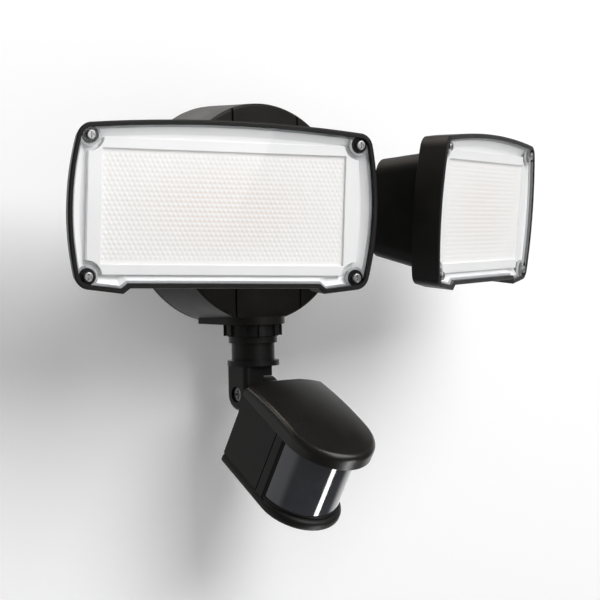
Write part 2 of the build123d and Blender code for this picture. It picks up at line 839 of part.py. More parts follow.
def sensor_frame():
    """Frame round the window: two bars with a thin rim above and below."""
    half = sensor_hw - window_inset
    inner = pir_lens_r - pir_lens_t - window_rim
    ring = d_shape(half, body_front, sensor_curve) - d_shape(inner, body_front - over, sensor_curve)
    body = shelf(ring, sensor_floor, sensor_top)
    low = sensor_floor + window_rim
    high = sensor_top - window_rim
    body -= block(-cap_hw, cap_hw, low, high, window_edge, front_end)
    for side in (-1, 1):
        bar = Pos(side * (half - bar_sunk), body_front + window_frame / 2)
        bar = bar * RectangleRounded(2 * window_bar, window_frame - 2 * bar_end, window_bar - bar_flat)
        body += shelf(bar, sensor_floor, sensor_top)
    return body


def pir_lens():
    """Curved dark lens that fills the window."""
    ring = d_shape(pir_lens_r, sensor_back, sensor_curve)
    ring -= d_shape(pir_lens_r - pir_lens_t, sensor_back - over, sensor_curve)
    body = shelf(ring, sensor_floor + window_rim, sensor_top - window_rim)
    return body - block(*past_body, 0, window_edge)


def sensor_seal():
    """Seal between the cap and the body."""
    ring = d_shape(sensor_hw - seal_in, sensor_back + seal_in, sensor_curve)
    ring -= d_shape(sensor_inner, sensor_back + sensor_wall, sensor_curve)
    return shelf(ring, sensor_top, sensor_top + seal_t)


def sensor_cap():
    """Cap over the sensor: crowned top, round edges, sloped rear and a brow beyond the window."""
    low = sensor_top + seal_t
    top = low + cap_h + cap_crown
    middle = (sensor_back + cap_curve + cap_hw) / 2
    cap = shelf(d_shape(cap_hw, sensor_back, cap_curve, cap_bulge), low, top + over)
    arch = Torus(cap_sweep_r - cap_arch_r, cap_arch_r)
    cap &= Pos(0, top - cap_sweep_r, middle) * Rot(0, 90, 0) * arch
    cap = fillet([e for e in cap.edges() if e.bounding_box().min.Y > low + over], cap_round)
    slope = Pos(0, low + cap_h - cap_rear_drop, sensor_back - cap_bulge) * Rot(-cap_rear_slope, 0, 0)
    cap -= slope * block(-cap_hw - over, cap_hw + over, 0, cap_hw, -cap_hw, cap_hw)
    hollow = d_shape(sensor_inner, sensor_back + sensor_wall, sensor_curve)
    return cap - shelf(hollow, low, low + cap_h - cap_skin)


def sensor_base():
    """Floor of the sensor with a round lip and holes for the dials and screws."""
    outline = d_shape(sensor_hw, sensor_back, sensor_curve + base_brow)
    base = shelf(outline, sensor_bottom, sensor_floor)
    base = fillet(base.edges().filter_by(GeomType.CIRCLE), lip_round)
    for x in (-dial_x, dial_x):
        base -= disc_up(dial_r + pin_play, sensor_bottom - over, sensor_floor + over, x, dial_at)
    for x, z in base_screw_points():
        base -= disc_up(base_screw_r + pin_play, sensor_bottom - over, sensor_floor + over, x, z)
        seat = sensor_bottom + base_screw_head_h
        base -= disc_up(base_screw_head_r + fit_gap, sensor_bottom - over, seat, x, z)
    return base


def base_screw_points():
    """Places of the screws in the sensor's floor."""
    return [(x, z) for x in (-base_screw_x, base_screw_x) for z in base_screw_z]


def base_screws():
    """Screws in the sensor's floor."""
    seat = sensor_bottom + base_screw_head_h
    screws = []
    for x, z in base_screw_points():
        head = disc_up(base_screw_head_r, sensor_bottom, seat, x, z)
        half = base_slot_w / 2
        slot = (x - cross_half, x + cross_half, sensor_bottom - over, sensor_bottom + base_slot_depth)
        head -= block(*slot, z - half, z + half)
        screws.append(head + disc_up(base_screw_r, seat, sensor_bottom + base_screw_len, x, z))
    return Compound(children=screws)


def sensor_board():
    """Circuit board across the inside of the sensor."""
    half = sensor_inner - sensor_board_side
    low = sensor_floor + sensor_board_top
    high = sensor_top - sensor_board_top
    return block(-half, half, low, high, sensor_board_at, sensor_board_at + sensor_board_t)


def detector():
    """Round detector can on the board."""
    middle = (sensor_top + sensor_floor) / 2
    start = sensor_board_at + sensor_board_t
    return disc(detector_r, start, start + detector_h, 0, middle)


def dial(x):
    """Adjusting dial in the sensor's floor."""
    low = sensor_bottom - dial_proud
    body = disc_up(dial_r, low, low + dial_h, x, dial_at)
    body = fillet(body.edges().sort_by(Axis.Y)[0], dial_round)
    half = dial_r - dial_slot_end
    slot = (x - half, x + half, low - over, low + dial_slot_depth)
    return body - block(*slot, dial_at - dial_slot_w / 2, dial_at + dial_slot_w / 2)


# --- places ---------------------------------------------------------------------------------------
neck_place = Pos(0, -neck_out, 0)
sensor_place = Pos(0, -neck_out, pivot_z) * Rot(90 + sensor_dip, 0, 0)


def pan_place(side, lean, turn):
    """Place on the pan axis of one side, turned about it."""
    return Pos(side * pan_x, -pan_out, pan_z) * Rot(0, lean, 0) * Rot(0, 0, turn)


def main():
    """Build every piece and write it."""
    os.makedirs("parts", exist_ok=True)
    canopy = {
        "canopy_housing": canopy_housing,
        "wall_gasket": wall_gasket,
        "strap": strap,
        "canopy_bolt": canopy_bolt,
        "bolt_washer": bolt_washer,
        "ground_screw": ground_screw,
        "driver_box": driver_box,
        "terminal_block": terminal_block,
    }
    for node, make in canopy.items():
        export(FACING * make(), node)

    swivel = {
        "bracket": bracket(),
        "bracket_screws": bracket_screws(),
        "pan_bolt": pan_bolt(),
        "pan_nut": pan_nut(),
    }
    head = {name: make() for name, make in HEAD_PIECES.items()}
    link = arm()
    sides = (
        ("left", -1, pan_place(-1, left_lean, left_turn), left_dip),
        ("right", 1, pan_place(1, 0, right_turn), right_dip),
    )
    for name, side, place, dip in sides:
        for piece, shape in swivel.items():
            export(FACING * on_side(shape, side), name + "_" + piece)
        export(place * FACING * link, name + "_arm")
        tilted = place * Pos(0, -arm_reach, 0) * Rot(dip, 0, 0) * FACING
        for piece, shape in head.items():
            export(tilted * shape, name + "_" + piece)

    stem = {
        "sensor_locknut": locknut,
        "sensor_neck": neck,
        "sensor_pivot_screw": pivot_screw,
        "sensor_pivot_nut": pivot_nut,
    }
    for node, make in stem.items():
        export(neck_place * make(), node)

    eye = {
        "sensor_body": sensor_body(),
        "sensor_frame": sensor_frame(),
        "sensor_lens": pir_lens(),
        "sensor_seal": sensor_seal(),
        "sensor_cap": sensor_cap(),
        "sensor_base": sensor_base(),
        "sensor_base_screws": base_screws(),
        "sensor_board": sensor_board(),
        "sensor_detector": detector(),
        "time_dial": dial(-dial_x),
        "range_dial": dial(dial_x),
    }
    for node, shape in eye.items():
        export(sensor_place * shape, node)


main()
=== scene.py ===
import json
import math

import bpy
from mathutils import Matrix, Vector


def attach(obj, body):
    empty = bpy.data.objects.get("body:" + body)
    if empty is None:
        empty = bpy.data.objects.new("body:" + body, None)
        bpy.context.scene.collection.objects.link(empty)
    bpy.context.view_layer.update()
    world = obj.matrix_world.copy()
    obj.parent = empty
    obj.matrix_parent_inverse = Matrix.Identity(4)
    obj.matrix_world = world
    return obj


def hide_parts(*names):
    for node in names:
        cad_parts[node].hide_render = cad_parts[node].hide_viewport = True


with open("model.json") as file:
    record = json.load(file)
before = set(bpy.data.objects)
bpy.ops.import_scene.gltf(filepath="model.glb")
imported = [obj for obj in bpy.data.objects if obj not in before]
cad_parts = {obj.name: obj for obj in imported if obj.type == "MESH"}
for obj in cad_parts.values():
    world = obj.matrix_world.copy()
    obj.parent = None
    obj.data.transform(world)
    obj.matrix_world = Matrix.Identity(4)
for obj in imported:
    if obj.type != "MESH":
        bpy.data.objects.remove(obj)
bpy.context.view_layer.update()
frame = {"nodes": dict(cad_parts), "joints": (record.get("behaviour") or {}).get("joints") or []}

NODES = frame["nodes"]
SIDES = ("left", "right")
STEEL_PIECES = ("bracket_screws", "pan_bolt", "pan_nut", "cover_screws", "tilt_bolt", "tilt_nut")
MM = 0.001

bl_info = {
    "name": "Motion sensor security light",
    "version": (1, 0, 0),
    "blender": (4, 5, 0),
    "location": "3D View > Sidebar > Security light",
    "description": "Dresses a two-head security light with its panels, finishes and studio",
    "category": "Object",
}

# Most of a noise's values lie in this range, which a material stretches to its own.
NOISE_RANGE = (0.3, 0.7)
NOISE_ROUGHNESS = 0.55
EDGE_SAMPLES = 6

# A prism's flat top as a share of its foot's width, and how far its foot is sunk in the plate as
# a share of its rise.
PRISM_TOP = 0.28
PRISM_SINK = 0.2
PLATE_ROUNDING = 0.3 * MM

# The warm glow in the middle of a panel: half its width and height in metres, where it starts
# and stops fading, as squared shares of those, and its least share between two rows of prisms.
GLOW_HALVES = (0.060, 0.026)
GLOW_FADE = (0.1, 1.1)
GLOW_BETWEEN_ROWS = 0.15

# The wall's width in metres, its gap behind the canopy, and a little light of its own that keeps
# it white where it is seen.
WALL_SPAN = 4
WALL_GAP = 0.6 * MM
WALL_GLOW = 0.15

# Lamps: name, place, width in metres and the setting with the power. The back lamp shines
# through the wall, which casts no shadow, on the tops and the backs.
LAMPS = (
    ("key_lamp", (0.45, -1.55, 1.15), 1.4, "key_watts"),
    ("back_lamp", (0.2, 1.6, 0.9), 1.2, "back_watts"),
)

# Cards that only shiny surfaces see: name, centre, long edge, width and length in metres,
# strength, colour, and the heights between which the light fades in, if it does.
SHEEN_FADE = (-0.12, 0.08)
CARDS = (
    ("strip_card", (0.361, -0.401, -0.913), (0.2, -0.87, 0.44), (0.17, 1.0), 11.0, "#ffffff", None),
    ("overhead_card", (-0.35, 0.35, 1.3), (0, 1, 0), (1.3, 0.8), 4.0, "#fff3e6", None),
    ("sheen_card", (-0.026, -1.146, 0.02), (0.41, 0, 0.91), (0.3, 0.5), 5.0, "#ffffff", SHEEN_FADE),
)
CARD_TARGET = Vector((-0.03, -0.1, -0.05))

# The room as shiny surfaces see it, bright only behind, low and to the right. Along each axis:
# the range over which the light changes, and its value at both ends. The three are multiplied.
ROOM_FADES = (
    ("Y", 0.0, 0.2, 0.0, 0.9),
    ("Z", 0.35, 0.75, 1.0, 0.0),
    ("X", -0.3, 0.7, 0.4, 1.0),
)
ROOM_LEAST = 0.1

CAMERA_PLACE = (-0.60949, -0.85487, -0.01449)
CAMERA_TURN_DEGREES = (87.9252, 1.0811, -38.1271)
CAMERA_SENSOR_MM = 36
CAMERA_CLIP = 0.01


# --- small helpers ------------------------------------------------------------------------------
def linear(code):
    """Turn an sRGB hex colour into linear RGBA."""
    channels = [int(code[i:i + 2], 16) / 255 for i in (1, 3, 5)]
    return [c / 12.92 if c <= 0.04045 else ((c + 0.055) / 1.055) ** 2.4 for c in channels] + [1.0]


def add_node(tree, kind, *values, inputs=None, **settings):
    """Add a node, give it its settings, and set or link its inputs, in order or by name.

    A node among the inputs stands for its first output.
    """
    made = tree.nodes.new(kind)
    for name, value in settings.items():
        setattr(made, name, value)
    for key, value in (*enumerate(values), *(inputs or {}).items()):
        if isinstance(value, bpy.types.Node):
            value = value.outputs[0]
        if isinstance(value, bpy.types.NodeSocket):
            tree.links.new(value, made.inputs[key])
        else:
            made.inputs[key].default_value = value
    return made


def new_material(name):
    """Make an empty material and return it with its node tree."""
    material = bpy.data.materials.new(name)
    material.use_nodes = True
    material.node_tree.nodes.clear()
    return material, material.node_tree


def noise_inputs(coords, size_mm, detail):
    """Inputs of a noise whose patches are about size_mm across."""
    return {
        "Vector": coords,
        "Scale": 1 / (size_mm * MM),
        "Detail": detail,
        "Roughness": NOISE_ROUGHNESS,
    }


def dress(material, *names):
    """Give CAD nodes a material."""
    for name in names:
        mesh = NODES[name].data
        mesh.materials.clear()
        mesh.materials.append(material)


def deselect():
    """Leave nothing selected, so that an operator acts only on what is added next."""
    bpy.ops.object.select_all(action="DESELECT")


def settle(piece, axes, middle):
    """Turn a piece made at the origin to the axes given, move it, and apply its place."""
    bpy.ops.object.transform_apply()
    place = Matrix(axes).transposed().to_4x4()
    place.translation = middle
    piece.matrix_world = place
    bpy.ops.object.transform_apply()


# --- materials ----------------------------------------------------------------------------------
def surface(name, colours, gloss, noises, grain, shading, edge_mm=None):
    """Make a surface of two near colours, with a gloss that varies and a fine grain.

    gloss is the range of roughness. noises holds the size in millimetres and the detail of the
    noise behind the colours, the gloss and the grain. grain holds its strength and its depth in
    millimetres. shading holds the shader's other inputs. edge_mm softens the edges that far.
    """
    material, tree = new_material(name)
    coords = add_node(tree, "ShaderNodeTexCoord").outputs["Object"]
    made = {
        noise: add_node(tree, "ShaderNodeTexNoise", inputs=noise_inputs(coords, *noise))
        for noise in dict.fromkeys(noises)
    }
    tone, sheen, relief = (made[noise] for noise in noises)
    blend = add_node(tree, "ShaderNodeMapRange", tone, *NOISE_RANGE, 0.0, 1.0)
    # 6 and 7 are the colour inputs of the mix, and 2 is its colour result.
    mix = {"Factor": blend, 6: linear(colours[0]), 7: linear(colours[1])}
    bump = {"Height": relief, "Strength": grain[0], "Distance": grain[1] * MM}
    if edge_mm is not None:
        edge = {"Radius": edge_mm * MM}
        bump["Normal"] = add_node(tree, "ShaderNodeBevel", inputs=edge, samples=EDGE_SAMPLES)
    inputs = {
        "Base Color": add_node(tree, "ShaderNodeMix", inputs=mix, data_type="RGBA").outputs[2],
        "Roughness": add_node(tree, "ShaderNodeMapRange", sheen, *NOISE_RANGE, *gloss),
        "Normal": add_node(tree, "ShaderNodeBump", inputs=bump),
        **shading,
    }
    shader = add_node(tree, "ShaderNodeBsdfPrincipled", inputs=inputs)
    add_node(tree, "ShaderNodeOutputMaterial", shader)
    return material


def rough_black(name, colours, roughness, grain_mm, lift_mm, edge_mm, specular):
    """Black surface with a fine grain, a faint unevenness in gloss, and worn-soft edges."""
    cloud = (18, 3.0)
    gloss = (roughness - 0.04, roughness + 0.05)
    noises = (cloud, cloud, (grain_mm, 2.0))
    shading = {"IOR": 1.5, "Specular IOR Level": specular}
    return surface(name, colours, gloss, noises, (0.5, lift_mm), shading, edge_mm)


def metal(name, light, dark, roughness, scratch_mm):
    """Bare or plated metal with a cloudy gloss and scratches, drawn at scratch_mm to show."""
    scratch = (scratch_mm, 4.0)
    gloss = (roughness - 0.06, roughness + 0.08)
    noises = ((4, 3.0), scratch, scratch)
    return surface(name, (light, dark), gloss, noises, (0.3, 0.03), {"Metallic": 1.0})


def plain_plastic(name, light, dark, roughness, grain_mm):
    """Small moulded or printed part: a steady gloss and a grain, drawn at grain_mm to show."""
    gloss = (roughness - 0.05, roughness + 0.05)
    return surface(name, (light, dark), gloss, ((grain_mm, 3.0),) * 3, (0.4, 0.05), {"IOR": 1.5})


def white_insert(look):
    """Moulded white ABS: even and clean, with a soft satin face and a faint flow marking.

    Its grain is drawn at 0.8 mm to show.
    """
    flow = (30, 3.0)
    colours = (look.insert_hex, "#f7f7f8")
    noises = (flow, flow, (0.8, 2.0))
    shading = {"IOR": 1.54}
    return surface("moulded_white_abs", colours, (0.38, 0.48), noises, (0.3, 0.02), shading, 0.6)


def smoked_window(look):
    """Infrared-clear polyethylene: near black and glossy, with slow ripples from moulding."""
    colours = (look.window_hex, "#414248")
    ripples = ((14, 2.0),) * 3
    shading = {"IOR": 1.54, "Coat Weight": 1.0, "Coat Roughness": 0.05}
    return surface("smoked_polyethylene", colours, (0.07, 0.13), ripples, (0.25, 0.2), shading)


def clear_cover():
    """Clear polycarbonate, 2 mm: all but invisible, with a reflection that grows at a slant."""
    material, tree = new_material("clear_polycarbonate")
    coords = add_node(tree, "ShaderNodeTexCoord").outputs["Object"]
    ripple = add_node(tree, "ShaderNodeTexNoise", inputs=noise_inputs(coords, 25, 1.0))
    bump = {"Height": ripple, "Strength": 0.03, "Distance": 0.05 * MM}
    gloss = {
        "Roughness": add_node(tree, "ShaderNodeMapRange", ripple, *NOISE_RANGE, 0.02, 0.06),
        "Normal": add_node(tree, "ShaderNodeBump", inputs=bump),
    }
    shine = add_node(tree, "ShaderNodeBsdfAnisotropic", inputs=gloss)
    clear = add_node(tree, "ShaderNodeBsdfTransparent")
    # Only the outer side of each face reflects.
    fresnel = add_node(tree, "ShaderNodeFresnel", 1.4)
    back = add_node(tree, "ShaderNodeNewGeometry").outputs["Backfacing"]
    outer = add_node(tree, "ShaderNodeMath", 1.0, back, operation="SUBTRACT")
    share = add_node(tree, "ShaderNodeMath", fresnel, outer, operation="MULTIPLY")
    shader = add_node(tree, "ShaderNodeMixShader", share, clear, shine)
    add_node(tree, "ShaderNodeOutputMaterial", shader)
    return material


def prismatic_panel(look, name, centre, across, up, row):
    """Prismatic acrylic over warm light chips: white, with a warm middle and faint level bands.

    The bands are as far apart as the rows of prisms.
    """
    material, tree = new_material(name)
    coords = add_node(tree, "ShaderNodeTexCoord").outputs["Object"]
    offset = add_node(tree, "ShaderNodeVectorMath", coords, centre, operation="SUBTRACT")
    along = []
    for axis in (across, up):
        product = add_node(tree, "ShaderNodeVectorMath", offset, axis, operation="DOT_PRODUCT")
        along.append(product.outputs["Value"])
    reach = 0.0
    for distance, half in zip(along, GLOW_HALVES):
        share = add_node(tree, "ShaderNodeMath", distance, 1 / half, operation="MULTIPLY")
        square = add_node(tree, "ShaderNodeMath", share, 2.0, operation="POWER")
        reach = add_node(tree, "ShaderNodeMath", reach, square, operation="ADD")
    middle = add_node(tree, "ShaderNodeMapRange", reach, *GLOW_FADE, 1.0, 0.0)
    turns = add_node(tree, "ShaderNodeMath", along[1], 2 * math.pi / row, operation="MULTIPLY")
    wave = add_node(tree, "ShaderNodeMath", turns, operation="SINE")
    band = add_node(tree, "ShaderNodeMapRange", wave, -1.0, 1.0, GLOW_BETWEEN_ROWS, 1.0)
    warm = add_node(tree, "ShaderNodeMath", band, middle, operation="MULTIPLY")
    mix = {"Factor": warm, 6: linear(look.panel_hex), 7: linear(look.panel_warm_hex)}
    cloud = add_node(tree, "ShaderNodeTexNoise", inputs=noise_inputs(coords, 12, 3.0))
    inputs = {
        "Base Color": add_node(tree, "ShaderNodeMix", inputs=mix, data_type="RGBA").outputs[2],
        "Roughness": add_node(tree, "ShaderNodeMapRange", cloud, *NOISE_RANGE, 0.4, 0.5),
        "IOR": 1.49,
    }
    shader = add_node(tree, "ShaderNodeBsdfPrincipled", inputs=inputs)
    add_node(tree, "ShaderNodeOutputMaterial", shader)
    return material


def wall_paint():
    """Matt white emulsion: even and without shine, and clear from behind."""
    material, tree = new_material("white_wall_paint")
    coords = add_node(tree, "ShaderNodeTexCoord").outputs["Object"]
    ray = add_node(tree, "ShaderNodeLightPath").outputs
    camera, through = ray["Is Camera Ray"], ray["Is Transmission Ray"]
    seen = add_node(tree, "ShaderNodeMath", camera, through, operation="MAXIMUM")
    lift = add_node(tree, "ShaderNodeMath", seen, WALL_GLOW, operation="MULTIPLY")
    cloud = add_node(tree, "ShaderNodeTexNoise", inputs=noise_inputs(coords, 400, 3.0))
    mix = {"Factor": cloud, 6: linear("#f3f3f3"), 7: linear("#f5f5f5")}
    colour = add_node(tree, "ShaderNodeMix", inputs=mix, data_type="RGBA").outputs[2]
    paint = add_node(tree, "ShaderNodeBsdfDiffuse", colour)
    glow = add_node(tree, "ShaderNodeEmission", inputs={"Strength": lift})
    front = add_node(tree, "ShaderNodeAddShader", paint, glow)
    behind = add_node(tree, "ShaderNodeNewGeometry").outputs["Backfacing"]
    clear = add_node(tree, "ShaderNodeBsdfTransparent")
    shader = add_node(tree, "ShaderNodeMixShader", behind, front, clear)
    add_node(tree, "ShaderNodeOutputMaterial", shader)
    return material


def card_light(name, colour, strength, fade):
    """Glowing card, of one strength or fading in between two heights."""
    material, tree = new_material(name)
    if fade:
        coords = add_node(tree, "ShaderNodeTexCoord").outputs["Object"]
        height = add_node(tree, "ShaderNodeSeparateXYZ", coords).outputs["Z"]
        strength = add_node(tree, "ShaderNodeMapRange", height, *fade, 0.0, strength)
    shader = add_node(tree, "ShaderNodeEmission", linear(colour), strength)
    add_node(tree, "ShaderNodeOutputMaterial", shader)
    return material


# --- sizes and colours a user can change --------------------------------------------------------
class SecurityLightSizes(bpy.types.PropertyGroup):
    """Sizes of the pieces that are added here."""

    prism_pitch: bpy.props.FloatProperty(
        name="Prism pitch", description="Distance between prisms along a row",
        default=2.63 * MM, unit="LENGTH",
    )
    prism_row: bpy.props.FloatProperty(
        name="Row pitch", description="Distance between rows of prisms",
        default=2.45 * MM, unit="LENGTH",
    )
    prism_rise: bpy.props.FloatProperty(
        name="Prism rise", description="How far a prism stands off its panel",
        default=0.12 * MM, unit="LENGTH",
    )


class SecurityLightColours(bpy.types.PropertyGroup):
    """Colours of the finishes, as sRGB hex codes."""

    insert_hex: bpy.props.StringProperty(
        name="Insert", description="White of the moulded insert", default="#fafafa"
    )
    panel_hex: bpy.props.StringProperty(
        name="Panel", description="White of the prismatic panel", default="#fcfbfa"
    )
    panel_warm_hex: bpy.props.StringProperty(
        name="Panel middle", description="Warm white over the light chips", default="#f8f1eb"
    )
    window_hex: bpy.props.StringProperty(
        name="Window", description="Near black of the sensor's window", default="#38393f"
    )


class SecurityLightStage(bpy.types.PropertyGroup):
    """Lamps and camera of the studio."""

    key_watts: bpy.props.FloatProperty(
        name="Key lamp", description="Power of the main lamp", default=35.0, unit="POWER"
    )
    back_watts: bpy.props.FloatProperty(
        name="Back lamp", description="Power of the lamp behind the wall", default=7.0, unit="POWER"
    )
    sky: bpy.props.FloatProperty(
        name="Room light", description="Strength of the even light", default=0.376
    )
    lens: bpy.props.FloatProperty(
        name="Lens", description="Focal length in mm", default=104.40
    )


# --- pieces -------------------------------------------------------------------------------------
def face_frame(node_name):
    """Middle of a flat node's front face, its across, up and outward directions, and its size."""
    mesh = NODES[node_name].data
    # The largest face that looks away from the wall.
    front = max((p for p in mesh.polygons if p.normal.y < -0.5), key=lambda p: p.area)
    out = front.normal.copy()
    depth = max(v.co.dot(out) for v in mesh.vertices)
    side = node_name.split("_")[0]
    tilt = next(j for j in frame["joints"] if j["name"] == side + "_tilt")
    across = Vector(tilt["axis"]).normalized()
    up = out.cross(across).normalized()
    spans = []
    for axis in (across, up):
        values = [v.co.dot(axis) for v in mesh.vertices]
        spans.append((min(values), max(values)))
    middle = across * sum(spans[0]) / 2 + up * sum(spans[1]) / 2 + out * depth
    size = [high - low for low, high in spans]
    size.append(depth - min(v.co.dot(out) for v in mesh.vertices))
    return middle, across, up, out, size


def add_prisms(name, size, sizes):
    """Add staggered rows of six-sided prisms that fill a face, with its middle at the origin."""
    pitch, row, rise = sizes.prism_pitch, sizes.prism_row, sizes.prism_rise
    # A staggered row needs half a pitch more, and the rows come in pairs.
    columns = int((size[0] - pitch) / pitch)
    rows = int(size[1] / row / 2 - 0.5) * 2
    # Regular six-sided prisms of this pitch would have rows 1.5 radii apart.
    radius = pitch / math.sqrt(3)
    deselect()
    bpy.ops.mesh.primitive_cone_add(
        vertices=6, radius1=radius, radius2=radius * PRISM_TOP, depth=rise * (1 + PRISM_SINK),
        end_fill_type="NGON", location=(0, 0, rise * (1 - PRISM_SINK) / 2),
    )
    prisms = bpy.context.object
    prisms.name = name
    prisms.scale = (1, row / (1.5 * radius), 1)
    bpy.ops.object.transform_apply()
    steps = (
        (columns, (pitch, 0, 0)),
        (2, (pitch / 2, row, 0)),
        (rows // 2, (0, 2 * row, 0)),
    )
    for count, step in steps:
        array = prisms.modifiers.new("rows", "ARRAY")
        array.count = count
        array.use_relative_offset = False
        array.use_constant_offset = True
        array.constant_offset_displace = step
        bpy.ops.object.modifier_apply(modifier=array.name)
    xs = [v.co.x for v in prisms.data.vertices]
    ys = [v.co.y for v in prisms.data.vertices]
    prisms.location = (-(min(xs) + max(xs)) / 2, -(min(ys) + max(ys)) / 2, 0)
    return prisms


def add_plate(size):
    """Add a plate with softened edges, its front face at the origin."""
    deselect()
    bpy.ops.mesh.primitive_cube_add(size=1, location=(0, 0, -size[2] / 2))
    plate = bpy.context.object
    plate.scale = size
    bpy.ops.object.transform_apply()
    rounding = plate.modifiers.new("edges", "BEVEL")
    rounding.width = PLATE_ROUNDING
    rounding.segments = 2
    bpy.ops.object.modifier_apply(modifier=rounding.name)
    return plate


class SECURITY_LIGHT_OT_panels(bpy.types.Operator):
    """Model the prismatic panel of each head and put it in the diffuser's place"""

    bl_idname = "security_light.panels"
    bl_label = "Prismatic panels"

    def execute(self, context):
        sizes = context.scene.security_light_sizes
        look = context.scene.security_light_colours
        for side in SIDES:
            middle, across, up, out, size = face_frame(side + "_diffuser")
            panel = add_prisms(side + "_prismatic_panel", size, sizes)
            plate = add_plate(size)
            deselect()
            plate.select_set(True)
            panel.select_set(True)
            context.view_layer.objects.active = panel
            bpy.ops.object.join()
            settle(panel, (across, up, out), middle)
            name = side + "_prismatic_acrylic"
            acrylic = prismatic_panel(look, name, middle, across, up, sizes.prism_row)
            panel.data.materials.clear()
            panel.data.materials.append(acrylic)
            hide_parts(side + "_diffuser")
            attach(panel, side + "_head")
        return {"FINISHED"}


class SECURITY_LIGHT_OT_canopy(bpy.types.Operator):
    """Finish the canopy, its gasket and what is inside it"""

    bl_idname = "security_light.canopy"
    bl_label = "Canopy finishes"

    def execute(self, context):
        # Injection-moulded ASA: near black, with a spark-eroded grain drawn at 0.7 mm to show.
        asa = rough_black("moulded_black_asa", ("#1a1817", "#201e1c"), 0.44, 0.7, 0.04, 0.3, 0.2)
        dress(asa, "canopy_housing")
        # Die-cut closed-cell foam: dull and sooty, with hardly any highlight.
        dress(plain_plastic("closed_cell_foam", "#232323", "#151515", 0.85, 0.9), "wall_gasket")
        # Bright zinc plating: pale with a yellow cast, and a soft gloss.
        dress(metal("zinc_plated_steel", "#c9c8c2", "#a9a79c", 0.35, 0.5), "strap", "canopy_bolt")
        # Moulded EPDM rubber: flat black.
        dress(plain_plastic("epdm_rubber", "#1a1a1a", "#101010", 0.75, 0.6), "bolt_washer")
        # Brass with a green finish: a metal's shine with a green cast.
        dress(metal("green_brass", "#6f8f3a", "#57742c", 0.32, 0.5), "ground_screw")
        # Moulded case filled with resin: mid grey and half matt.
        dress(plain_plastic("potted_driver_case", "#4a4b4d", "#3b3c3e", 0.5, 1.2), "driver_box")
        # Moulded nylon without dye: cream, and a little waxy.
        dress(plain_plastic("natural_nylon", "#d9d6cc", "#c9c5b8", 0.45, 1.5), "terminal_block")
        return {"FINISHED"}


class SECURITY_LIGHT_OT_heads(bpy.types.Operator):
    """Finish the two heads and their swivels"""

    bl_idname = "security_light.heads"
    bl_label = "Head finishes"

    def execute(self, context):
        look = context.scene.security_light_colours
        # Powder-coated die casting: satin black with the coat's slight orange peel, about 1 mm.
        black = ("#181716", "#1d1c1b")
        coat = rough_black("powder_coated_aluminium", black, 0.46, 1.1, 0.05, 0.3, 0.2)
        # Turned stainless steel: pale grey, with a broken highlight.
        steel = metal("stainless_screw_steel", "#b8b8b7", "#98989a", 0.34, 0.4)
        insert = white_insert(look)
        cover = clear_cover()
        # Moulded silicone: milky grey and half matt.
        rubber = plain_plastic("translucent_silicone", "#c3c6c8", "#b4b8ba", 0.5, 0.8)
        # Rolled sheet: pale, with the blurred shine of the mill.
        aluminium = metal("rolled_aluminium", "#cfd0d2", "#b9babd", 0.4, 0.8)
        # Printed mask: an off-white lacquer with some shine.
        board = plain_plastic("white_solder_mask", "#e8e8e4", "#dcdcd6", 0.35, 2.0)
        # Phosphor in silicone: deep yellow and soft.
        chip = plain_plastic("yellow_phosphor", "#e6b93c", "#d9a62c", 0.5, 0.6)
        for side in SIDES:
            dress(coat, side + "_bracket", side + "_arm", side + "_housing")
            dress(insert, side + "_reflector")
            dress(cover, side + "_cover")
            dress(rubber, side + "_cover_gasket")
            dress(aluminium, side + "_heat_plate")
            dress(board, side + "_led_board")
            dress(chip, side + "_leds")
            for piece in STEEL_PIECES:
                dress(steel, side + "_" + piece)
        return {"FINISHED"}


class SECURITY_LIGHT_OT_sensor(bpy.types.Operator):
    """Finish the sensor, its neck and its dials"""

    bl_idname = "security_light.sensor"
    bl_label = "Sensor finishes"

    def execute(self, context):
        look = context.scene.security_light_colours
        # Injection-moulded ASA: near black, with a spark-eroded grain drawn at 0.8 mm to show.
        black = ("#191716", "#1e1c1b")
        body = rough_black("moulded_sensor_asa", black, 0.44, 0.8, 0.03, 0.25, 0.24)
        dress(body, "sensor_neck", "sensor_locknut", "sensor_body", "sensor_frame", "sensor_base")
        # ASA from a polished mould: a clearer reflection, with a faint waviness about 2.5 mm across.
        cap = rough_black("polished_black_asa", ("#181715", "#1d1b19"), 0.30, 2.5, 0.02, 0.3, 0.4)
        dress(cap, "sensor_cap")
        dress(smoked_window(look), "sensor_lens")
        # Moulded rubber: flat black.
        dress(plain_plastic("sensor_seal_rubber", "#1c1c1c", "#121212", 0.7, 0.6), "sensor_seal")
        # Turned steel with painted shade, darker than on the heads: mid grey, broken highlight.
        steel = metal("pivot_screw_steel", "#8d8d8c", "#6e6e6f", 0.36, 0.4)
        dress(steel, "sensor_pivot_screw", "sensor_pivot_nut", "sensor_base_screws")
        # The detector's can is of the same steel, with the same painted shade.
        dress(steel, "sensor_detector")
        # Printed mask: a deep green lacquer with some shine.
        dress(plain_plastic("green_solder_mask", "#1f5a34", "#174728", 0.35, 2.0), "sensor_board")
        # Moulded nylon: mid grey and half matt, so that the dials stand out from the base.
        dial = plain_plastic("grey_dial_nylon", "#5d5e60", "#4c4d4f", 0.45, 0.8)
        dress(dial, "time_dial", "range_dial")
        return {"FINISHED"}


# --- studio -------------------------------------------------------------------------------------
def add_wall():
    """Add the wall, which lights and shades nothing and isn't seen in reflections."""
    deselect()
    bpy.ops.mesh.primitive_plane_add(
        size=WALL_SPAN, location=(0, WALL_GAP, 0), rotation=(math.pi / 2, 0, 0)
    )
    wall = bpy.context.object
    wall.name = "pale_wall"
    bpy.ops.object.transform_apply()
    wall.data.materials.append(wall_paint())
    wall.visible_diffuse = False
    wall.visible_shadow = False
    wall.visible_glossy = False


